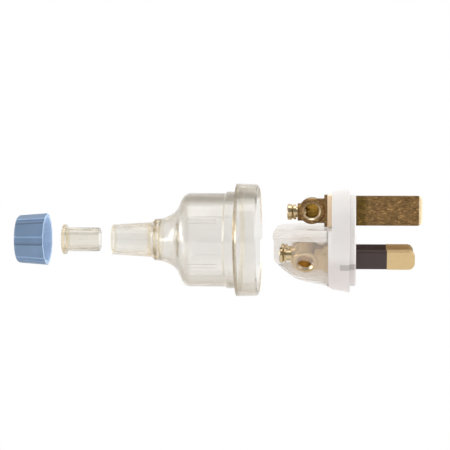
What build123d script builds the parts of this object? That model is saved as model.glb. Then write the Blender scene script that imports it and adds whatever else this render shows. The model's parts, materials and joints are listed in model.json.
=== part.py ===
from build123d import *
import math
import os

os.makedirs("parts", exist_ok=True)

# A rewirable three-pin plug, taken apart in line: gland nut, cord sleeve, clear cover and pin base.
# X runs along the pins and Z is up, with the earth pin above. The origin is the middle of the pin
# base's front face, where the pins leave it. Sizes are millimetres.

# How far each piece stands back from its seat, along the axis
cover_travel = 27.9
sleeve_travel = 14.6
nut_travel = 13.0
live_screw_back = 1.5
earth_screw_back = 0.4

# Clearances
cover_fit = 0.15
sleeve_fit = 0.1
screw_fit = 0.05
slot_fit = 0.05
socket_fit = 0.25
seat_gap = 0.05

# Pin pattern: the earth pin above, a live pin 120 degrees to each side
earth_radius = 10.31
live_radius = 7.92
live_turn = 120
pattern_drop = 1.16

# Pins
blade_thick = 1.6
earth_width = 9.1
earth_length = 20.1
live_width = 6.35
live_length = 17.7
live_tip_round = 2.0
earth_tip_round = 1.5
tip_bevel = 1.0
tip_flat = 0.7
shoulder_thick = 2.6
live_shoulder_width = 7.9
earth_shoulder_width = 9.7
live_shoulder_length = 1.6
earth_shoulder_length = 1.0
live_neck_width = 5.6
earth_neck_width = 7.4
neck_thick = 3.0

# Wire terminals, one at the back of each pin
drum_radius = 4.0
drum_edge = 0.35
live_drum_back = 7.1
earth_drum_back = 3.8
live_drum_gap = 2.93
live_drum_in = 4.0
earth_drum_out = 2.2
earth_drum_in = 2.5
tunnel_radius = 2.2
tunnel_floor = 0.8
tunnel_lip = 0.6
boss_radius = 2.7
boss_height = 0.35

# Terminal screws
screw_radius = 1.7
screw_reach = 1.2
screw_point = 0.4
screw_head_radius = 2.45
live_head_length = 2.0
earth_head_length = 2.7
head_bevel = 0.25
head_groove = 0.55
groove_half = 0.3
groove_share = 0.6
head_step = 0.15
slot_width = 0.8
slot_depth = 0.75
live_screw_in = 2.2
earth_screw_drop = 0.45

# Insulation on the live pins
insulation_out = 9.3
insulation_in = 4.6
insulation_wall = 0.35

# Pin base
boss_length = 1.9
base_boss_radius = 14.0
boss_edge = 0.4
flange_length = 5.3
flange_radius = 16.0
flange_taper = 0.95
tail_length = 18.0
tail_skin = 0.85
tail_bevel = 0.2
tail_end_radius = 6.3
# Tail profile: share of its length in front of its end, and share of the way from the end's
# radius out to its full radius
tail_curve = ((0.19, 0.457), (0.38, 0.779), (0.73, 1.0))
tail_flare_length = 2.0
tail_flare = 0.5
shelf_thick = 3.5
shelf_top = 4.2
shelf_round = 3.2
shelf_drop = 1.9
barrier = 1.6
pocket_floor = 1.0
window_length = 5.9
window_depth = 7.6
wire_hole_radius = 2.6
earth_pad_length = 1.5
earth_pad_thick = 6.4

# Cover
collar_length = 6.8
collar_wall = 1.25
collar_taper = 0.2
mouth_bevel = 0.5
lip_length = 2.9
lip_rise = 0.5
lip_run = 0.6
lip_bore_rise = 0.75
bell_length = 14.1
bell_step = 1.55
bell_wall = 0.95
flare_length = 9.4
# Where the bell's curve is steepest: share of the flare's length and of its rise
steep_place = 0.59
steep_rise = 0.475
flare_slope = 0.28
ring_length = 2.9
ring_radius = 6.55
ring_draft = 0.1
ring_ramp = 1.0
neck_length = 12.2
neck_tip_radius = 4.65
neck_taper = 0.75
neck_bore_spare = 0.3
throat_radius = 3.25
throat_length = 1.3
rib_turn = 30
rib_width = 1.1
rib_height = 0.35
rib_length = 8.6

# Cord sleeve
sleeve_radius = 3.7
sleeve_bore_radius = 3.0
sleeve_length = 10.5
sleeve_flange_radius = 4.65
sleeve_flange = 0.93
sleeve_bevel = 0.15

# Gland nut
nut_length = 9.1
nut_end_radius = 7.45
nut_end_bevel = 0.5
nut_mouth_radius = 8.1
nut_wall = 1.2
nut_hole_radius = 3.8
nut_bore_radius = 6.85
nut_bore_flat = 0.25
nut_socket_length = 2.6
nut_flat = 0.3
flute_count = 7
flute_turn = -1.5
flute_width = 1.8
flute_depth = 0.4

# Places that follow from the sizes
flange_front = -boss_length
flange_back = flange_front - flange_length
tail_end = flange_back - tail_length
live_seat = flange_back - pocket_floor
earth_seat = flange_back - earth_pad_length
earth_z = earth_radius - pattern_drop
live_y = live_radius * math.sin(math.radians(live_turn))
live_z = live_radius * math.cos(math.radians(live_turn)) - pattern_drop
near_turn = live_turn - 90
far_turn = 180 - near_turn
live_drum_x = live_seat - live_drum_back
earth_drum_x = earth_seat - earth_shoulder_length - earth_drum_back
bell_radius = flange_radius - bell_step
bell_bore = bell_radius - bell_wall
live_drum_out = bell_bore - tail_skin - live_drum_gap - live_radius
collar_bore = flange_radius + cover_fit
collar_radius = collar_bore + collar_wall
mouth_x = flange_front - cover_travel
collar_back = mouth_x - collar_length
lip_back = collar_back - lip_length
bell_back = collar_back - bell_length
flare_back = bell_back - flare_length
ring_back = flare_back - ring_length
neck_tip = ring_back - neck_length
neck_bore_length = sleeve_length + neck_bore_spare
nut_socket_radius = neck_tip_radius + neck_taper * nut_socket_length / neck_length + socket_fit
sleeve_seat = neck_tip - sleeve_travel - seat_gap
nut_seat = sleeve_seat - sleeve_flange - nut_travel - seat_gap


def turned(outline):
    """A solid of revolution about the plug's axis, from a closed outline of (x, radius)."""
    return revolve(Plane.XZ * make_face(outline), Axis.X)


def rod(radius, start, end):
    """A round bar along the plug's axis."""
    bar = Cylinder(radius, end - start, align=(Align.CENTER, Align.CENTER, Align.MIN))
    return Pos(start, 0, 0) * Rot(0, 90, 0) * bar


def cross_rod(radius, start, end):
    """A round bar along Y."""
    bar = Cylinder(radius, end - start, align=(Align.CENTER, Align.CENTER, Align.MIN))
    return Pos(0, start, 0) * Rot(-90, 0, 0) * bar


def block(low, high):
    """A box between two corners."""
    size = [b - a for a, b in zip(low, high)]
    middle = [(a + b) / 2 for a, b in zip(low, high)]
    return Pos(*middle) * Box(*size)


def at_pin(y, z, turn):
    """A pin's own place: blade width along its Z, wire tunnel opening to its -Y."""
    return Pos(0, y, z) * Rot(turn, 0, 0)


earth_place = at_pin(0, earth_z, 0)
active_place = at_pin(-live_y, live_z, near_turn)
neutral_place = at_pin(live_y, live_z, far_turn)
earth_screw_place = earth_place * Pos(0, (earth_drum_in - earth_drum_out) / 2, -earth_screw_drop)
active_screw_place = active_place * Pos(0, live_screw_in, 0)
neutral_screw_place = neutral_place * Pos(0, live_screw_in, 0)


def blade(width, length, start, tip_round):
    """A flat pin with rounded tip corners and a bevelled tip."""
    plan = Pos((start + length) / 2, 0) * Rectangle(length - start, width)
    plan = fillet(plan.vertices().group_by(Axis.X)[-1], tip_round)
    slab = extrude(Plane.XZ * plan, blade_thick, both=True)
    half = blade_thick / 2
    side = Polyline(
        (start, -half), (length - tip_bevel, -half), (length, -tip_flat / 2),
        (length, tip_flat / 2), (length - tip_bevel, half), (start, half), close=True,
    )
    return slab & extrude(make_face(side), width, both=True)


def terminal(drum_x, out, inward, screw_side, screw_up, neck_end, neck_width):
    """The wire drum behind a pin and the neck before it, with its blind tunnel and screw hole."""
    drum = cross_rod(drum_radius, -out, inward)
    drum = Pos(drum_x, 0, 0) * chamfer(drum.edges().filter_by(GeomType.CIRCLE), drum_edge)
    half = neck_width / 2
    drum += block((drum_x, -neck_thick / 2, -half), (neck_end, neck_thick / 2, half))
    back = drum_x - drum_radius - boss_height
    boss = Pos(0, screw_side, screw_up) * rod(boss_radius, back, drum_x)
    reach = drum_radius - drum_edge
    drum += boss & block((back, -out + drum_edge, -reach), (drum_x, inward - drum_edge, reach))
    tunnel = cross_rod(tunnel_radius, -out - drum_edge, inward - tunnel_floor)
    lip = Cone(
        tunnel_radius, tunnel_radius + tunnel_lip, tunnel_lip,
        align=(Align.CENTER, Align.CENTER, Align.MAX),
    )
    tunnel += Pos(0, -out, 0) * Rot(90, 0, 0) * lip
    drum -= Pos(drum_x, 0, 0) * tunnel
    hole = rod(screw_radius + screw_fit, back - 1, drum_x)
    return drum - Pos(0, screw_side, screw_up) * hole


def earth_pin():
    pin = blade(earth_width, earth_length, earth_seat, earth_tip_round)
    shoulder_back = earth_seat - earth_shoulder_length
    half = earth_shoulder_width / 2
    pin += block((shoulder_back, -shoulder_thick / 2, -half), (earth_seat, shoulder_thick / 2, half))
    side = (earth_drum_in - earth_drum_out) / 2
    drum = terminal(
        earth_drum_x, earth_drum_out, earth_drum_in, side, -earth_screw_drop,
        earth_seat - earth_shoulder_length / 2, earth_neck_width,
    )
    return earth_place * (pin + drum)


def live_pin(place):
    pin = blade(live_width, live_length, live_seat, live_tip_round)
    sleeve_zone = block(
        (-insulation_in, -live_width, -live_width), (insulation_out, live_width, live_width)
    )
    half_y = blade_thick / 2 - insulation_wall
    half_z = live_width / 2 - insulation_wall
    core = block((-insulation_in, -half_y, -half_z), (insulation_out, half_y, half_z))
    pin = (pin - sleeve_zone) + core
    shoulder_back = live_seat - live_shoulder_length
    half = live_shoulder_width / 2
    pin += block((shoulder_back, -shoulder_thick / 2, -half), (live_seat, shoulder_thick / 2, half))
    drum = terminal(
        live_drum_x, live_drum_out, live_drum_in, live_screw_in, 0,
        live_seat - live_shoulder_length / 2, live_neck_width,
    )
    return place * (pin + drum)


def insulation(place):
    """The moulded jacket round the root of a live pin, flush with the bare blade."""
    half_y = blade_thick / 2
    half_z = live_width / 2
    jacket = block((-insulation_in, -half_y, -half_z), (insulation_out, half_y, half_z))
    jacket = chamfer(jacket.edges().filter_by(Axis.X), insulation_wall / 2)
    inner_y = half_y - insulation_wall
    inner_z = half_z - insulation_wall
    bore = block((-insulation_in - 1, -inner_y, -inner_z), (insulation_out + 1, inner_y, inner_z))
    return place * (jacket - bore)


def screw(place, drum_x, back_off, head_length):
    """A slotted terminal screw with a grooved head, backed out of its drum."""
    seat = drum_x - drum_radius - boss_height - seat_gap - back_off
    rear = seat - head_length
    groove = rear + groove_share * head_length
    point = drum_x - tunnel_radius - back_off + screw_reach
    rim = screw_head_radius - head_step
    outline = Polyline(
        (rear, 0), (rear, screw_head_radius - head_bevel), (rear + head_bevel, screw_head_radius),
        (groove - groove_half, screw_head_radius), (groove, screw_head_radius - head_groove),
        (groove + groove_half, rim), (seat, rim), (seat, screw_radius),
        (point - screw_point, screw_radius), (point, screw_radius - screw_point), (point, 0),
        close=True,
    )
    body = turned(outline)
    far = screw_head_radius + 1
    slot = block((rear - 1, -slot_width / 2, -far), (rear + slot_depth, slot_width / 2, far))
    return place * (body - slot)


def tail_outline(inset, back, front):
    """The base's tail in profile, drawn in by a wall thickness."""
    full = bell_bore - cover_fit - seat_gap
    steps = [(tail_end + tail_bevel, tail_end_radius)]
    for along, out in tail_curve:
        rise = out * (full - tail_end_radius)
        steps.append((tail_end + along * tail_length, tail_end_radius + rise))
    steps.append((flange_back - tail_flare_length, bell_bore + tail_flare))
    steps.append((flange_back, flange_radius - flange_taper))
    edge = Spline(*[(x, r - inset) for x, r in steps])
    first, last = edge @ 0, edge @ 1
    return edge + Polyline(
        (last.X, last.Y), (front, last.Y), (front, 0), (back, 0), (back, first.Y), (first.X, first.Y)
    )


def pin_base():
    """The moulded pin carrier: barbed flange, front boss, shelf, barrier and two live pockets."""
    tail = turned(tail_outline(0, tail_end, flange_front))
    top = Polyline(
        (tail_end, shelf_top - shelf_drop), (tail_end, -flange_radius), (0, -flange_radius),
        (0, shelf_top), (tail_end + shelf_round, shelf_top),
    ) + Bezier(
        (tail_end + shelf_round, shelf_top), (tail_end, shelf_top),
        (tail_end, shelf_top - shelf_drop),
    )
    tail &= extrude(Plane.XZ * make_face(top), 2 * flange_radius, both=True)

    pocket = turned(tail_outline(tail_skin, tail_end - 1, flange_front))
    under = shelf_top - shelf_thick
    room = 2 * flange_radius
    for side in (-1, 1):
        inner, outer = side * barrier / 2, side * room
        low_y, high_y = min(inner, outer), max(inner, outer)
        tail -= pocket & block((tail_end - 2, low_y, -room), (live_seat, high_y, under))
        tail -= block((tail_end - 2, low_y, -window_depth), (tail_end + window_length, high_y, under))

    outline = Polyline(
        (flange_back, 0), (flange_back, flange_radius - flange_taper), (flange_front, flange_radius),
        (flange_front, base_boss_radius), (-boss_edge, base_boss_radius),
        (0, base_boss_radius - boss_edge), (0, 0), close=True,
    )
    base = turned(outline) + tail
    for place in (active_place, neutral_place):
        hole = cross_rod(wire_hole_radius, -flange_radius, -live_drum_out + drum_edge)
        base -= place * Pos(live_drum_x, 0, 0) * hole

    half = earth_shoulder_width / 2
    base += earth_place * block(
        (earth_seat, -earth_pad_thick / 2, -half), (flange_back, earth_pad_thick / 2, half)
    )
    for place, width, seat in (
        (earth_place, earth_width, earth_seat),
        (active_place, live_width, live_seat),
        (neutral_place, live_width, live_seat),
    ):
        half_y = blade_thick / 2 + slot_fit
        half_z = width / 2 + slot_fit
        base -= place * block((seat - 1, -half_y, -half_z), (1, half_y, half_z))
    return base


def cover_skin(inset):
    """The cover's bell curve from the ring to the cylindrical part, drawn in by a wall thickness."""
    start = Vector(flare_back, ring_radius)
    end = Vector(bell_back, bell_radius)
    steep = Vector(
        start.X + steep_place * (end.X - start.X), start.Y + steep_rise * (end.Y - start.Y)
    )
    slope = Vector(flare_length, end.Y - start.Y).normalized()
    return Spline(
        (start.X, start.Y - inset), (steep.X + slope.Y * inset, steep.Y - slope.X * inset),
        (end.X, end.Y - inset), tangents=((1, flare_slope), (1, 0)),
    )


def cover():
    """The clear moulded cover: collar, bell, step ring and tapered neck, with ribs inside."""
    neck_root = neck_tip_radius + neck_taper
    lip_radius = bell_radius + lip_rise
    outside = Polyline(
        (neck_tip, 0), (neck_tip, neck_tip_radius), (ring_back, neck_root),
        (ring_back + ring_ramp, ring_radius - ring_draft), (flare_back, ring_radius),
    ) + cover_skin(0) + Polyline(
        (bell_back, bell_radius), (lip_back - lip_run, bell_radius), (lip_back, lip_radius),
        (collar_back, lip_radius), (collar_back, collar_radius),
        (mouth_x - mouth_bevel, collar_radius - collar_taper),
        (mouth_x, collar_radius - collar_taper - mouth_bevel), (mouth_x, 0), (neck_tip, 0),
    )
    shell = turned(outside)

    bore_end = neck_tip + neck_bore_length
    neck_bore = sleeve_radius + sleeve_fit
    flare_bore = ring_radius - bell_wall
    inside = Polyline(
        (neck_tip - 1, 0), (neck_tip - 1, neck_bore), (bore_end, neck_bore),
        (bore_end, throat_radius), (bore_end + throat_length, throat_radius), (flare_back, flare_bore),
    ) + cover_skin(bell_wall) + Polyline(
        (bell_back, bell_bore), (lip_back - lip_run, bell_bore),
        (collar_back - bell_wall / 3, bell_bore + lip_bore_rise),
        (collar_back + bell_wall, collar_bore),
        (mouth_x + 1, collar_bore), (mouth_x + 1, 0), (neck_tip - 1, 0),
    )
    shell -= turned(inside)

    rib = block(
        (bell_back - bell_wall / 2, bell_bore - rib_height, -rib_width / 2),
        (bell_back + rib_length, bell_bore + bell_wall / 2, rib_width / 2),
    )
    for turn in (rib_turn, -rib_turn, 180 + rib_turn, 180 - rib_turn):
        shell += Rot(turn, 0, 0) * rib
    return shell


def cord_sleeve():
    """The soft flanged tube that grips the cord inside the neck."""
    back = sleeve_seat - sleeve_flange
    tip = sleeve_seat + sleeve_length
    outline = Polyline(
        (back, sleeve_bore_radius), (back, sleeve_flange_radius - sleeve_bevel),
        (back + sleeve_bevel, sleeve_flange_radius), (sleeve_seat, sleeve_flange_radius),
        (sleeve_seat, sleeve_radius), (tip - 2 * sleeve_bevel, sleeve_radius),
        (tip, sleeve_radius - sleeve_bevel), (tip, sleeve_bore_radius), close=True,
    )
    return turned(outline)


def gland_nut():
    """The fluted nut: a tapered cup with flats, grooves between them and a hole for the cord."""
    back = nut_seat - nut_wall
    front = back + nut_length
    outline = Polyline(
        (back, nut_hole_radius), (back, nut_end_radius - nut_end_bevel),
        (back + nut_end_bevel, nut_end_radius), (front, nut_mouth_radius), (front, nut_socket_radius), (nut_seat, nut_socket_radius),
        (nut_seat, nut_hole_radius), close=True,
    )
    nut = turned(outline)
    room = rod(nut_bore_radius, nut_seat + nut_socket_length, front + 1)
    lean = math.degrees(math.atan2(nut_mouth_radius - nut_end_radius, nut_length))
    step = 360 / flute_count
    room_y = nut_mouth_radius
    for index in range(flute_count):
        tool = block((-1, -room_y, 0), (nut_length + 1, room_y, room_y))
        flat = Pos(back, 0, nut_end_radius - nut_flat) * Rot(0, -lean, 0) * tool
        nut -= Rot(flute_turn + 90 + step * (index + 0.5), 0, 0) * flat
        tool = block((-1, -flute_width / 2, 0), (nut_length + 1, flute_width / 2, room_y))
        flute = Pos(back, 0, nut_end_radius - flute_depth) * Rot(0, -lean, 0) * tool
        nut -= Rot(flute_turn + 90 + step * index, 0, 0) * flute
        flat = Pos(0, 0, nut_bore_radius - nut_bore_flat) * block(
            (back - 1, -room_y, 0), (front + 1, room_y, room_y)
        )
        room -= Rot(flute_turn + 90 + step * (index + 0.5), 0, 0) * flat
    return nut - room


pieces = {
    "pin_base": pin_base(),
    "earth_pin": earth_pin(),
    "active_pin": live_pin(active_place),
    "neutral_pin": live_pin(neutral_place),
    "active_pin_insulation": insulation(active_place),
    "neutral_pin_insulation": insulation(neutral_place),
    "earth_terminal_screw": screw(
        earth_screw_place, earth_drum_x, earth_screw_back, earth_head_length
    ),
    "active_terminal_screw": screw(
        active_screw_place, live_drum_x, live_screw_back, live_head_length
    ),
    "neutral_terminal_screw": screw(
        neutral_screw_place, live_drum_x, live_screw_back, live_head_length
    ),
    "clear_cover": cover(),
    "cord_sleeve": cord_sleeve(),
    "gland_nut": gland_nut(),
}
for name, piece in pieces.items():
    export_step(piece, f"parts/{name}.step")
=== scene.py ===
"""A rewirable three-pin plug, taken apart in line, dressed for rendering."""
import json
import math

import bpy
from bpy.props import FloatProperty, FloatVectorProperty, PointerProperty
from mathutils import Matrix, Vector


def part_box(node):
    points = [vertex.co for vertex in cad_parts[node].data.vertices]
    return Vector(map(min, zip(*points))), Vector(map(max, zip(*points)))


bl_info = {
    "name": "Taken-apart plug",
    "version": (1, 0, 0),
    "blender": (4, 5, 0),
    "location": "3D View > Sidebar > Plug",
    "description": "Dresses the plug's pieces and sets the studio round them",
    "category": "Object",
}

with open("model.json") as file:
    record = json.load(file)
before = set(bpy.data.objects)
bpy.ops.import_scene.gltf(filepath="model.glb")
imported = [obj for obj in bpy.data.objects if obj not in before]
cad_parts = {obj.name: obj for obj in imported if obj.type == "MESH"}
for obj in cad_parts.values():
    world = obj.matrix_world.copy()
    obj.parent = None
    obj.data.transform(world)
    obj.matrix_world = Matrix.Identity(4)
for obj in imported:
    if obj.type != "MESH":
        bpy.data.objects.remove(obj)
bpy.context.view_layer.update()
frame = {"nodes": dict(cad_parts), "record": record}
MM = 0.001

# Lengths along X, in millimetres, of the earth pin's end, painted lighter as a highlight, and of
# the nut's lip, painted lighter as a highlight
TIP_BEVEL = 1.1
NUT_LIP = 0.5
# The nut's grooves, the first one's turn, and the degrees between which their edges lie
FLUTES = 7
FLUTE_TURN = 1.5
FLUTE_EDGE = (6.4, 10)
# Width of the flat ring round a wire tunnel, and how far past its bore its wall's faces may lie
TUNNEL_RIM = 0.6
TUNNEL_SPARE = 0.05

# Corners that lie closer than this are welded
SEAM = 0.002 * MM

# Tinted bands across the clear pieces: the axis, where a band starts and ends and how soft its
# edge is in millimetres, its strength and its tone. X is counted from the piece's left end.
# Amber bands deepen the plastic's yellow where a wall is seen edge on; dim bands are painted
# shade where a wall bends the light away.
COVER_BANDS = (
    ("X", 0, 0.6, 0.25, 0.5, "amber"),
    ("X", 11.4, 12.1, 0.25, 0.45, "amber"),
    ("X", 13.4, 14.0, 0.25, 0.6, "amber"),
    ("X", 14.7, 15.2, 0.25, 0.65, "amber"),
    ("X", 38.2, 39.2, 0.25, 0.35, "amber"),
    # Painted shade along the bell's top
    ("Z", 12.2, 15.2, 0.8, 0.65, "dim"),
)
SLEEVE_BANDS = (
    ("X", 0, 0.95, 0.25, 0.6, "amber"),
    # Painted shade along the sleeve's walls
    ("Z", 1.7, 2.4, 0.3, 0.4, "dim"),
    ("Z", -2.8, -2.2, 0.3, 0.5, "dim"),
)

# Clear plastic's tone from a wall seen square on, 0, to one seen edge on, 1: partly the plastic's
# own yellow over a longer path, partly painted shade for the dark outline of its edges
EDGE_TONES = (
    (0.3, (1, 1, 1)), (0.6, (0.9, 0.87, 0.81)), (0.78, (0.55, 0.49, 0.38)),
    (1, (0.22, 0.18, 0.12)),
)

# Zones of the pin base along X and along Z, in millimetres: the clearer strip over a jacket's
# root, the clear tail behind the flange, and the pad above it
STRIP = ((-4.75, -0.1), (-7.7, -5.9))
STRIP_SHARE = 0.4
TAIL = ((-30, -8.3), (-20, 4.3))
PAD = ((-30, -7.25), (4.3, 20))
ZONE_EDGE = 0.01
# The base's lower part along Z, its soft edge and its tone: painted shade, darker towards the
# bottom
FOOT = (-20, -5, 2)
FOOT_PAINTED_SHADE = (0.86, 0.83, 0.83)

# Scratches on brass: the turn of each set, and how far it is stretched along and across
SCRATCHES = ((0.5, 650, 1500), (-0.5, 500, 1300), (-1.2, 600, 1400))
STAIN_TONE = (0.5, 0.53, 0.3)
STAIN_EDGE = 1.2

# The windows beside the table: where each stands, as a unit direction, the cosines between which
# it fades out, and its share of the full strength
WINDOWS = (
    ((-0.985, -0.05, -0.16), 0.78, 0.94, 1),
    ((0.985, 0.17, 0.0), 0.78, 0.94, 0.4),
    ((0.75, -0.66, 0.0), 0.93, 0.98, 0.2),
)

# From the front, -1, to the back, 1: where the room in a reflection grows brighter, and where the
# light on the pieces does
ROOM_RISE = (-0.95, 0.85)
LIGHT_RISE = (-0.3, 0.7)

# The lamps: name, place from the row's middle and size in metres, and power in watts
LAMPS = (
    ("left", (-0.55, -0.4, 0.02), 0.22, 0.6),
    ("right", (0.6, -0.25, 0.05), 0.3, 1.0),
    ("top", (0.0, -0.1, 0.7), 0.4, 1.0),
)


def linear(red, green, blue):
    """A colour as the eye reads it on a screen, 0 to 255, as linear light."""
    def level(value):
        share = value / 255
        return share / 12.92 if share <= 0.04045 else ((share + 0.055) / 1.055) ** 2.4
    return (level(red), level(green), level(blue))


class PlugFinish(bpy.types.PropertyGroup):
    """Colours of the plug's finishes."""

    cover: FloatVectorProperty(
        name="Cover", description="Tint of the clear cover", subtype="COLOR",
        default=linear(243, 243, 243), min=0, max=1,
    )
    vinyl: FloatVectorProperty(
        name="Cord sleeve", description="Tint of the soft sleeve", subtype="COLOR",
        default=linear(246, 244, 240), min=0, max=1,
    )
    amber: FloatVectorProperty(
        name="Amber", description="Clear plastic's tone where a wall is seen edge on",
        subtype="COLOR", default=linear(240, 219, 160), min=0, max=1,
    )
    # Painted shade: a grey tone laid in bands over the clear pieces where a wall bends the light
    # away
    dim: FloatVectorProperty(
        name="Dim", description="Clear plastic's tone where a wall bends the light away",
        subtype="COLOR", default=linear(170, 165, 154), min=0, max=1,
    )
    milky: FloatVectorProperty(
        name="Pin base", description="Colour of the milky moulding", subtype="COLOR",
        default=linear(214, 211, 209), min=0, max=1,
    )
    clear_base: FloatVectorProperty(
        name="Pin base, clear part", description="Tint of the thin walls round the terminals",
        subtype="COLOR", default=linear(238, 232, 225), min=0, max=1,
    )
    pad: FloatVectorProperty(
        name="Pad", description="Colour of the pad behind the earth pin", subtype="COLOR",
        default=linear(244, 220, 190), min=0, max=1,
    )
    nut: FloatVectorProperty(
        name="Gland nut", description="Colour of the gland nut", subtype="COLOR",
        default=linear(136, 160, 186), min=0, max=1,
    )
    # Partly light through the thin wall, partly painted light: the nut's inside is coloured
    # lighter than its outside
    nut_inside_painted_light: FloatVectorProperty(
        name="Gland nut, inside", description="Colour of the nut's thin wall, lit through",
        subtype="COLOR", default=linear(196, 220, 248), min=0, max=1,
    )
    old_brass: FloatVectorProperty(
        name="Earth pin", description="Tarnished brass", subtype="COLOR",
        default=linear(138, 108, 70), min=0, max=1,
    )
    bright_brass: FloatVectorProperty(
        name="Live pins", description="Bright brass", subtype="COLOR",
        default=linear(216, 188, 140), min=0, max=1,
    )
    # Painted highlight: the flat rings round the wire tunnels' mouths are coloured lighter than
    # the pins' brass
    rim_highlight_brass: FloatVectorProperty(
        name="Worn rims", description="Brass where it is worn bare", subtype="COLOR",
        default=linear(238, 220, 190), min=0, max=1,
    )
    # Painted highlight: the earth pin's bevelled end is coloured lighter, standing in for the
    # reflection on its bevel
    tip_highlight_brass: FloatVectorProperty(
        name="Worn tip", description="Brass rubbed bright at the earth pin's end", subtype="COLOR",
        default=linear(240, 216, 180), min=0, max=1,
    )
    # Painted light: the tunnels' walls and floors get their own lighter, more golden brass,
    # standing in for the light falling into them
    bore_brass: FloatVectorProperty(
        name="Earth tunnel", description="Brass inside the earth pin's wire tunnel",
        subtype="COLOR", default=linear(186, 148, 66), min=0, max=1,
    )
    bright_bore: FloatVectorProperty(
        name="Live tunnels", description="Brass inside the live pins' wire tunnels",
        subtype="COLOR", default=linear(246, 218, 158), min=0, max=1,
    )
    screw: FloatVectorProperty(
        name="Screws", description="Turned brass", subtype="COLOR",
        default=linear(212, 192, 154), min=0, max=1,
    )
    jacket: FloatVectorProperty(
        name="Insulation", description="Colour of the live pins' jackets", subtype="COLOR",
        default=linear(50, 32, 29), min=0, max=1,
    )


class PlugStage(bpy.types.PropertyGroup):
    """Where the camera and the floor stand and how bright the surround is."""

    view_width: FloatProperty(
        name="View width", description="Width of the picture at the plug's axis",
        default=138.9 * MM, unit="LENGTH",
    )
    distance: FloatProperty(
        name="Distance", description="From the camera to the middle of the row",
        default=470 * MM, unit="LENGTH",
    )
    elevation: FloatProperty(
        name="Elevation", description="How far the camera looks down",
        default=math.radians(5.5), subtype="ANGLE",
    )
    azimuth: FloatProperty(
        name="Azimuth", description="How far the camera stands round towards the pins",
        default=math.radians(4.9), subtype="ANGLE",
    )
    roll: FloatProperty(
        name="Roll", description="Levels the row in the picture",
        default=math.radians(-0.3), subtype="ANGLE",
    )
    middle_x: FloatProperty(
        name="Middle X", description="Point on the axis at the picture's middle",
        default=-40.3 * MM, unit="LENGTH",
    )
    middle_z: FloatProperty(
        name="Middle Z", description="Height at the picture's middle",
        default=4.6 * MM, unit="LENGTH",
    )
    floor_drop: FloatProperty(
        name="Floor", description="How far the floor lies under the axis",
        default=48 * MM, unit="LENGTH",
    )
    sky: FloatProperty(
        name="Sky", description="Strength of the light from the front", default=0.7, min=0,
    )
    back: FloatProperty(
        name="Back light", description="Strength of the light from behind", default=2.4, min=0,
    )
    window: FloatProperty(
        name="Windows", description="Brightness of the side windows in a reflection",
        default=5, min=0,
    )
    front: FloatProperty(
        name="Front", description="How bright the room behind the camera is in a reflection",
        default=0.3, min=0,
    )


def blank_material(name):
    """A new material, with its tree and the one Principled shader in it."""
    material = bpy.data.materials.new(name)
    material.use_nodes = True
    tree = material.node_tree
    return material, tree, tree.nodes["Principled BSDF"]


def feed(tree, socket, value):
    """Links a socket to another one, or sets it to a number, a vector or a colour."""
    if isinstance(value, bpy.types.NodeSocket):
        tree.links.new(value, socket)
    elif socket.type == "RGBA":
        socket.default_value = (*value, 1)
    else:
        socket.default_value = value


def fill(tree, made, **values):
    """Sets a node's own properties and feeds its input sockets."""
    for key, value in values.items():
        if hasattr(made, key):
            setattr(made, key, value)
        else:
            feed(tree, made.inputs[key.replace("_", " ")], value)
    return made


def node(tree, kind, **values):
    """Adds a node and fills it in."""
    return fill(tree, tree.nodes.new(kind), **values)


def axes(tree):
    """X, Y and Z of Object coordinates."""
    place = node(tree, "ShaderNodeTexCoord").outputs["Object"]
    return node(tree, "ShaderNodeSeparateXYZ", Vector=place).outputs


def noise(tree, scale, detail, roughness=0.5, tilt=0):
    """Noise on Object coordinates, tilted about Y and scaled along each axis."""
    place = node(tree, "ShaderNodeTexCoord").outputs["Object"]
    mapping = node(tree, "ShaderNodeMapping", Vector=place, Rotation=(0, tilt, 0), Scale=scale)
    return node(
        tree, "ShaderNodeTexNoise", Vector=mapping.outputs["Vector"], Scale=1, Detail=detail,
        Roughness=roughness,
    ).outputs["Fac"]


def ramp(tree, factor, stops):
    """A colour ramp of (place, colour) stops."""
    made = node(tree, "ShaderNodeValToRGB", Fac=factor)
    elements = made.color_ramp.elements
    while len(elements) > 1:
        elements.remove(elements[-1])
    elements[0].position, elements[0].color = stops[0][0], (*stops[0][1], 1)
    for place, colour in stops[1:]:
        element = elements.new(place)
        element.color = (*colour, 1)
    return made.outputs["Color"]


def shade(colour, factor):
    """A colour made lighter or darker."""
    return tuple(min(1, value * factor) for value in colour)


def spread(tree, value, low, high, start=0, end=1, kind="LINEAR"):
    """Maps start to end onto low to high."""
    return node(
        tree, "ShaderNodeMapRange", interpolation_type=kind, Value=value,
        From_Min=start, From_Max=end, To_Min=low, To_Max=high,
    ).outputs["Result"]


def maths(tree, operation, first, second):
    """Joins two values."""
    made = node(tree, "ShaderNodeMath", operation=operation)
    feed(tree, made.inputs[0], first)
    feed(tree, made.inputs[1], second)
    return made.outputs[0]


def layered(tree, factor, under, over, blend="MULTIPLY"):
    """Lays one colour over another."""
    made = node(tree, "ShaderNodeMix", data_type="RGBA", blend_type=blend, Factor=factor)
    feed(tree, made.inputs[6], under)
    feed(tree, made.inputs[7], over)
    return made.outputs[2]


def mixed_shaders(tree, factor, first, second):
    """Mixes two shaders by a factor."""
    made = node(tree, "ShaderNodeMixShader", Fac=factor)
    feed(tree, made.inputs[1], first)
    feed(tree, made.inputs[2], second)
    return made.outputs["Shader"]


def show(tree, shader, socket="Surface"):
    """Links a shader to the material's output."""
    feed(tree, tree.nodes["Material Output"].inputs[socket], shader)


def bump(tree, shader, height, strength, distance):
    """Gives a shader fine relief, its distance in millimetres."""
    relief = node(
        tree, "ShaderNodeBump", Height=height, Strength=strength, Distance=distance * MM
    )
    feed(tree, shader.inputs["Normal"], relief.outputs["Normal"])


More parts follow.
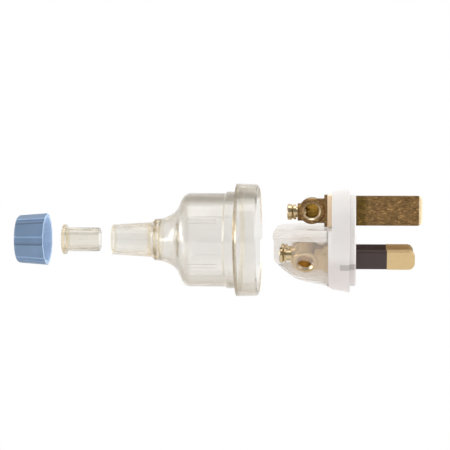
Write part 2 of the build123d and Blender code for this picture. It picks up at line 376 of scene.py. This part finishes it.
def within(tree, value, low, high, soft):
    """1 where a place lies between two in millimetres, fading out over a soft edge."""
    low, high, soft = low * MM, high * MM, soft * MM
    rise = spread(tree, value, 0, 1, low - soft, low + soft, "SMOOTHSTEP")
    fall = spread(tree, value, 1, 0, high - soft, high + soft, "SMOOTHSTEP")
    return maths(tree, "MULTIPLY", rise, fall)


def zone(tree, place, stretch):
    """1 inside a stretch of X and of Z."""
    along = within(tree, place["X"], *stretch[0], ZONE_EDGE)
    upward = within(tree, place["Z"], *stretch[1], ZONE_EDGE)
    return maths(tree, "MULTIPLY", along, upward)


def clear_plastic(name, tint, roughness, yellow, density, bands):
    """Clear moulded plastic: faint flow marks, a yellow that deepens with thickness, a tone that
    darkens where a wall is seen edge on, partly the plastic's yellow and partly painted shade, and
    tinted bands across an axis, in millimetres, some of them painted shade."""
    material, tree, shader = blank_material(name)
    flow = noise(tree, (60, 240, 240), 3)
    colour = ramp(tree, flow, ((0.3, shade(tint, 0.985)), (0.7, tint)))
    # Partly the plastic's deeper yellow, partly painted shade at the edges
    grazing = node(tree, "ShaderNodeLayerWeight", Blend=0.5)
    shown = layered(tree, 1, colour, ramp(tree, grazing.outputs["Facing"], EDGE_TONES))
    place = axes(tree)
    for axis, low, high, soft, strength, stain in bands:
        band = within(tree, place[axis], low, high, soft)
        shown = layered(tree, spread(tree, band, 0, strength), shown, stain)
    smear = noise(tree, (90, 300, 300), 2)
    fill(
        tree, shader, Base_Color=shown, Transmission_Weight=1, IOR=1.3, Alpha=0.85,
        Coat_Weight=0.8, Coat_Roughness=0.03, Coat_IOR=1.5,
        Roughness=spread(tree, smear, roughness, roughness * 2),
    )
    absorb = node(tree, "ShaderNodeVolumeAbsorption", Color=yellow, Density=density)
    show(tree, absorb.outputs["Volume"], "Volume")
    bump(tree, shader, flow, 0.03, 0.1)
    return material


def milky_plastic(name, milky, clear, pad):
    """The pin base: milky where it is thick, clear in the walls round the live terminals, with
    painted shade darker towards the bottom.
    """
    material, tree, shader = blank_material(name)
    mottle = noise(tree, (300, 300, 300), 3)
    white = ramp(tree, mottle, ((0.3, shade(milky, 0.97)), (0.7, milky)))
    place = axes(tree)
    warm = layered(tree, zone(tree, place, PAD), white, pad, "MIX")
    # Painted shade: the base is darker towards the bottom
    foot_shade = within(tree, place["Z"], *FOOT)
    fill(
        tree, shader, Base_Color=layered(tree, foot_shade, warm, FOOT_PAINTED_SHADE), Roughness=0.38,
        Subsurface_Weight=0.25, Subsurface_Radius=(1, 0.9, 0.8), Subsurface_Scale=0.8 * MM,
    )
    haze = node(
        tree, "ShaderNodeBsdfPrincipled", Base_Color=clear, Transmission_Weight=0.8,
        Roughness=0.05, IOR=1.08, Alpha=0.75,
    )
    veiled = maths(tree, "MULTIPLY", zone(tree, place, STRIP), STRIP_SHARE)
    either = maths(tree, "MAXIMUM", veiled, zone(tree, place, TAIL))
    show(tree, mixed_shaders(tree, either, shader.outputs["BSDF"], haze.outputs["BSDF"]))
    return material


def brass(name, colour, dark, light, roughness, scratches, stain=None):
    """Brass with fine grain and scratches, and a stain over a stretch along X."""
    material, tree, shader = blank_material(name)
    grain = noise(tree, (900, 2600, 2600), 5, 0.6, tilt=0.09)
    patches = noise(tree, (420, 800, 800), 8, 0.65, tilt=0.6)
    uneven = node(tree, "ShaderNodeMix", data_type="FLOAT", Factor=0.45, A=grain, B=patches)
    tone = ramp(
        tree, uneven.outputs["Result"],
        ((0.38, shade(colour, dark)), (0.5, colour), (0.62, shade(colour, light))),
    )
    for tilt, length, width in SCRATCHES:
        scratch = noise(tree, (length, width, width), 2, 0.4, tilt)
        thin = spread(tree, scratch, 0, scratches, 0.66, 0.7)
        tone = layered(tree, thin, tone, shade(colour, light * 1.6), "MIX")
    if stain:
        reach = within(tree, axes(tree)["X"], *stain, STAIN_EDGE)
        spots = noise(tree, (500, 500, 500), 4, 0.7)
        cover = maths(tree, "MULTIPLY", reach, spread(tree, spots, 0.3, 1.3))
        tone = layered(tree, cover, tone, STAIN_TONE)
    fill(
        tree, shader, Base_Color=tone, Metallic=1,
        Roughness=spread(tree, grain, roughness * 0.7, roughness * 1.4),
    )
    bump(tree, shader, grain, 0.12, 0.05)
    return material


def satin_plastic(name, colour, roughness, glow=0):
    """Moulded plastic with a fine spark-eroded skin, which may let some light through."""
    material, tree, shader = blank_material(name)
    cloud = noise(tree, (120, 120, 120), 3)
    tone = ramp(tree, cloud, ((0.3, shade(colour, 0.93)), (0.7, shade(colour, 1.06))))
    fill(
        tree, shader, Base_Color=tone,
        Roughness=spread(tree, cloud, roughness * 0.85, roughness * 1.15),
    )
    bump(tree, shader, noise(tree, (2500, 2500, 2500), 2), 0.08, 0.02)
    if glow:
        through = node(tree, "ShaderNodeBsdfTranslucent", Color=tone)
        show(tree, mixed_shaders(tree, glow, shader.outputs["BSDF"], through.outputs["BSDF"]))
    return material


def dress(name, material):
    """Gives a CAD node its material."""
    thing = frame["nodes"][name]
    thing.data.materials.clear()
    thing.data.materials.append(material)
    return thing


def refinish(thing, material, test):
    """Gives another finish to the faces whose middle, in millimetres, and normal pass a test."""
    thing.data.materials.append(material)
    slot = len(thing.data.materials) - 1
    for polygon in thing.data.polygons:
        if test(polygon.center / MM, polygon.normal):
            polygon.material_index = slot


def smooth_node(thing, angle=32):
    """Welds a node's loose triangles and shades it smooth between its sharp edges."""
    weld = thing.modifiers.new("weld", "WELD")
    weld.merge_threshold = SEAM
    split = thing.modifiers.new("edges", "EDGE_SPLIT")
    split.split_angle = math.radians(angle)
    for polygon in thing.data.polygons:
        polygon.use_smooth = True


class PLUG_OT_stage(bpy.types.Operator):
    """Set the floor, the white surround, the lamps and the camera"""

    bl_idname = "plug.stage"
    bl_label = "Stage"

    def execute(self, context):
        scene = context.scene
        stage = scene.plug_stage
        scene.view_settings.view_transform = "Standard"
        self.add_camera(scene, stage)
        self.add_world(scene, stage)
        self.add_floor(stage)
        self.add_lamps(scene, stage)
        return {"FINISHED"}

    def add_camera(self, scene, stage):
        lens = bpy.data.cameras.new("camera")
        camera = bpy.data.objects.new("camera", lens)
        scene.collection.objects.link(camera)
        target = Vector((stage.middle_x, 0, stage.middle_z))
        level = math.cos(stage.elevation)
        back = Vector((
            math.sin(stage.azimuth) * level, -math.cos(stage.azimuth) * level,
            math.sin(stage.elevation),
        ))
        camera.location = target + back * stage.distance
        turn = Matrix.Rotation(stage.azimuth, 3, "Z") @ Matrix.Rotation(
            math.pi / 2 - stage.elevation, 3, "X"
        ) @ Matrix.Rotation(stage.roll, 3, "Z")
        camera.rotation_euler = turn.to_euler()
        lens.lens = lens.sensor_width * stage.distance / stage.view_width
        lens.clip_start = 10 * MM
        lens.clip_end = 100
        scene.camera = camera

    def add_world(self, scene, stage):
        """White to the camera, a room with windows in reflections, and brighter from behind."""
        world = bpy.data.worlds.new("surround")
        scene.world = world
        world.use_nodes = True
        tree = world.node_tree
        tree.nodes.clear()
        path = node(tree, "ShaderNodeLightPath").outputs
        place = node(tree, "ShaderNodeTexCoord").outputs["Generated"]
        deep = node(tree, "ShaderNodeSeparateXYZ", Vector=place).outputs["Y"]
        room = spread(tree, deep, stage.front, 1, *ROOM_RISE, "SMOOTHSTEP")
        for direction, fade, full, share in WINDOWS:
            facing = node(tree, "ShaderNodeVectorMath", operation="DOT_PRODUCT")
            feed(tree, facing.inputs[0], place)
            feed(tree, facing.inputs[1], direction)
            glare = spread(
                tree, facing.outputs["Value"], 0, stage.window * share, fade, full, "SMOOTHSTEP"
            )
            mirrored = maths(tree, "MULTIPLY", glare, path["Is Glossy Ray"])
            room = maths(tree, "ADD", room, mirrored)
        level = spread(tree, deep, stage.sky, stage.back, *LIGHT_RISE, "SMOOTHSTEP")
        seen = node(tree, "ShaderNodeBackground", Color=(1, 1, 1), Strength=1)
        bent = node(tree, "ShaderNodeBackground", Color=(1, 1, 1), Strength=room)
        light = node(tree, "ShaderNodeBackground", Color=(1, 0.99, 0.975), Strength=level)
        clear = mixed_shaders(
            tree, self.straight_rays(tree), light.outputs["Background"],
            bent.outputs["Background"],
        )
        surround = mixed_shaders(tree, path["Is Camera Ray"], clear, seen.outputs["Background"])
        node(tree, "ShaderNodeOutputWorld", Surface=surround)

    def straight_rays(self, tree):
        """1 for what the camera sees straight, in a reflection or through clear plastic."""
        path = node(tree, "ShaderNodeLightPath").outputs
        first = maths(tree, "MAXIMUM", path["Is Camera Ray"], path["Is Glossy Ray"])
        return maths(tree, "MAXIMUM", first, path["Is Transmission Ray"])

    def add_floor(self, stage):
        bpy.ops.mesh.primitive_plane_add(
            size=6, location=(stage.middle_x, 0, -stage.floor_drop)
        )
        floor = bpy.context.active_object
        floor.name = "floor"
        material, tree, shader = blank_material("floor")
        fill(tree, shader, Base_Color=(0.93, 0.93, 0.93), Roughness=0.9)
        glow = node(tree, "ShaderNodeEmission", Strength=1)
        show(tree, mixed_shaders(
            tree, self.straight_rays(tree), shader.outputs["BSDF"], glow.outputs["Emission"]
        ))
        floor.data.materials.append(material)

    def add_lamps(self, scene, stage):
        middle = Vector((stage.middle_x, 0, 0))
        for name, place, size, power in LAMPS:
            lamp = bpy.data.lights.new(name, "AREA")
            lamp.size = size
            lamp.energy = power
            holder = bpy.data.objects.new(name, lamp)
            holder.location = middle + Vector(place)
            holder.rotation_euler = (middle - holder.location).to_track_quat("-Z", "Y").to_euler()
            scene.collection.objects.link(holder)


class PLUG_OT_clear_pieces(bpy.types.Operator):
    """Finish the clear cover and the soft cord sleeve"""

    bl_idname = "plug.clear_pieces"
    bl_label = "Cover and cord sleeve"

    def execute(self, context):
        finish = context.scene.plug_finish
        cover_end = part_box("clear_cover")[0][0] / MM
        sleeve_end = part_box("cord_sleeve")[0][0] / MM
        cover = clear_plastic(
            "clear_cover", finish.cover, roughness=0.015, yellow=(0.8, 0.65, 0.36), density=100,
            bands=self.placed_bands(finish, COVER_BANDS, cover_end),
        )
        vinyl = clear_plastic(
            "soft_vinyl", finish.vinyl, roughness=0.05, yellow=(0.76, 0.64, 0.34), density=130,
            bands=self.placed_bands(finish, SLEEVE_BANDS, sleeve_end),
        )
        smooth_node(dress("clear_cover", cover))
        smooth_node(dress("cord_sleeve", vinyl))
        return {"FINISHED"}

    def placed_bands(self, finish, bands, end):
        """A piece's bands, with X counted from the origin and with their colours."""
        for axis, low, high, soft, strength, tone in bands:
            start = end if axis == "X" else 0
            yield axis, start + low, start + high, soft, strength, getattr(finish, tone)


class PLUG_OT_gland_nut(bpy.types.Operator):
    """Finish the fluted gland nut"""

    bl_idname = "plug.gland_nut"
    bl_label = "Gland nut"

    def execute(self, context):
        colour = context.scene.plug_finish.nut
        pale = context.scene.plug_finish.nut_inside_painted_light
        nut = dress("gland_nut", satin_plastic("nut_plastic", colour, 0.35, glow=0.45))
        smooth_node(nut, 8)
        # The nut's inside: partly light through its thin wall, partly painted light, coloured
        # lighter than its outside
        inside = satin_plastic("nut_inside_painted_light", pale, 0.45, glow=0.2)
        # Painted highlight and painted shade: lighter and darker copies of the nut's plastic for
        # the two walls of each flute
        painted_highlight = satin_plastic("nut_flute_highlight_edge", shade(colour, 1.45), 0.3, glow=0.45)
        flute_painted_shade = satin_plastic("nut_flute_shade_edge", shade(colour, 0.6), 0.5, glow=0.45)
        # Painted highlight: the lip round the nut's mouth is coloured lighter than the nut
        lip = satin_plastic("nut_lip_painted_highlight", shade(colour, 1.8), 0.35, glow=0.2)
        start, end = FLUTE_EDGE
        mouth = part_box("gland_nut")[1][0] / MM - NUT_LIP
        refinish(nut, inside, lambda place, normal: (
            normal.y * place.y + normal.z * place.z < -0.5
        ))
        # Painted highlight on one wall of each flute, painted shade on the other
        refinish(nut, painted_highlight, lambda place, normal: start < self.turn(place, normal) < end)
        refinish(nut, flute_painted_shade, lambda place, normal: start < -self.turn(place, normal) < end)
        # Painted highlight on the lip's faces at the mouth
        refinish(nut, lip, lambda place, normal: place.x > mouth and normal.x > 0.5)
        return {"FINISHED"}

    def turn(self, place, normal):
        """Degrees from the nearest flute to a face on the nut's outside, and 90 elsewhere."""
        outward = (normal.y * place.y + normal.z * place.z) / math.hypot(place.y, place.z)
        if outward < 0.2:
            return 90
        angle = math.degrees(math.atan2(place.z, -place.y)) - FLUTE_TURN
        step = 360 / FLUTES
        return (angle + step / 2) % step - step / 2


class PLUG_OT_pin_base(bpy.types.Operator):
    """Finish the milky pin base"""

    bl_idname = "plug.pin_base"
    bl_label = "Pin base"

    def execute(self, context):
        finish = context.scene.plug_finish
        plastic = milky_plastic("milky_base", finish.milky, finish.clear_base, finish.pad)
        smooth_node(dress("pin_base", plastic))
        return {"FINISHED"}


class PLUG_OT_pins(bpy.types.Operator):
    """Finish the brass pins, their screws and the live pins' jackets"""

    bl_idname = "plug.pins"
    bl_label = "Pins and screws"

    def execute(self, context):
        finish = context.scene.plug_finish
        old = brass(
            "tarnished_brass", finish.old_brass, dark=0.5, light=1.55, roughness=0.32,
            scratches=0.75, stain=(-2, 3.2),
        )
        bright = brass(
            "bright_brass", finish.bright_brass, dark=0.95, light=1.04, roughness=0.3,
            scratches=0.03,
        )
        turned = brass(
            "turned_brass", finish.screw, dark=0.7, light=1.15, roughness=0.2, scratches=0.1,
        )
        # Painted highlight for the rings round the tunnel mouths
        rim = brass(
            "rim_highlight_brass", finish.rim_highlight_brass, dark=0.9, light=1.1, roughness=0.3, scratches=0,
        )
        # Painted light inside the wire tunnels, lighter than each pin's brass
        earth_bore_light = brass(
            "earth_tunnel_painted_light", finish.bore_brass, dark=0.5, light=1.7, roughness=0.45, scratches=0,
        )
        bright_bore = brass(
            "live_tunnel_painted_light", finish.bright_bore, dark=0.8, light=1.1, roughness=0.5, scratches=0,
        )
        # Painted highlight for the earth pin's bevelled end
        end = brass(
            "tip_highlight_brass", finish.tip_highlight_brass, dark=0.95, light=1.05, roughness=0.5, scratches=0,
        )
        jacket = satin_plastic("pin_jacket", finish.jacket, 0.4)
        for name, material in (
            ("earth_pin", old), ("active_pin", bright), ("neutral_pin", bright),
            ("earth_terminal_screw", turned), ("active_terminal_screw", turned),
            ("neutral_terminal_screw", turned), ("active_pin_insulation", jacket),
            ("neutral_pin_insulation", jacket),
        ):
            smooth_node(dress(name, material))
        for mount in frame["record"]["mounts"]:
            if mount["name"].endswith("_wire_tunnel"):
                pin = frame["nodes"][mount["name"].replace("_wire_tunnel", "_pin")]
                # Painted highlight on the ring round this tunnel's mouth
                refinish(pin, rim, self.rim_test(mount))
                # Painted light on this tunnel's wall and floor
                bore = earth_bore_light if pin.name == "earth_pin" else bright_bore
                refinish(pin, bore, self.bore_test(mount))
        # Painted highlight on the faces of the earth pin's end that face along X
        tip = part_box("earth_pin")[1][0] / MM - TIP_BEVEL
        refinish(frame["nodes"]["earth_pin"], end, lambda place, normal: (
            place.x > tip and normal.x > 0.2 and abs(normal.z) < 0.3
        ))
        return {"FINISHED"}

    def from_mouth(self, mount, place):
        """How far a place lies out along a wire tunnel's axis, and away from it."""
        axis = Vector(mount["axis"])
        off = place - Vector(mount["pos_m"]) / MM
        along = off.dot(axis)
        return along, (off - along * axis).length

    def rim_test(self, mount):
        """Picks out the flat ring round the mouth of a wire tunnel."""
        axis = Vector(mount["axis"])
        bore = mount["dims"]["r_mm"]

        def test(place, normal):
            along, away = self.from_mouth(mount, place)
            ring = bore < away < bore + TUNNEL_RIM
            return abs(along) < TUNNEL_RIM and ring and normal.dot(axis) > 0.3
        return test

    def bore_test(self, mount):
        """Picks out the wall and the floor of a wire tunnel."""
        bore = mount["dims"]["r_mm"]

        def test(place, normal):
            along, away = self.from_mouth(mount, place)
            return along < 0.3 and away < bore + TUNNEL_SPARE
        return test


class PLUG_PT_panel(bpy.types.Panel):
    """Lists the plug's pieces and its stage"""

    bl_label = "Plug"
    bl_idname = "PLUG_PT_panel"
    bl_space_type = "VIEW_3D"
    bl_region_type = "UI"
    bl_category = "Plug"

    def draw(self, context):
        layout = self.layout
        for operator in OPERATORS:
            layout.operator(operator.bl_idname)
        for group in (context.scene.plug_finish, context.scene.plug_stage):
            box = layout.box()
            for name in group.__annotations__:
                box.prop(group, name)


OPERATORS = (
    PLUG_OT_stage, PLUG_OT_clear_pieces, PLUG_OT_gland_nut, PLUG_OT_pin_base, PLUG_OT_pins,
)
CLASSES = (PlugFinish, PlugStage, *OPERATORS, PLUG_PT_panel)


def register():
    for item in CLASSES:
        bpy.utils.register_class(item)
    bpy.types.Scene.plug_finish = PointerProperty(type=PlugFinish)
    bpy.types.Scene.plug_stage = PointerProperty(type=PlugStage)


def unregister():
    del bpy.types.Scene.plug_stage
    del bpy.types.Scene.plug_finish
    for item in reversed(CLASSES):
        bpy.utils.unregister_class(item)


def main():
    register()
    bpy.ops.plug.stage()
    bpy.ops.plug.clear_pieces()
    bpy.ops.plug.gland_nut()
    bpy.ops.plug.pin_base()
    bpy.ops.plug.pins()


if __name__ == "__main__":
    main()
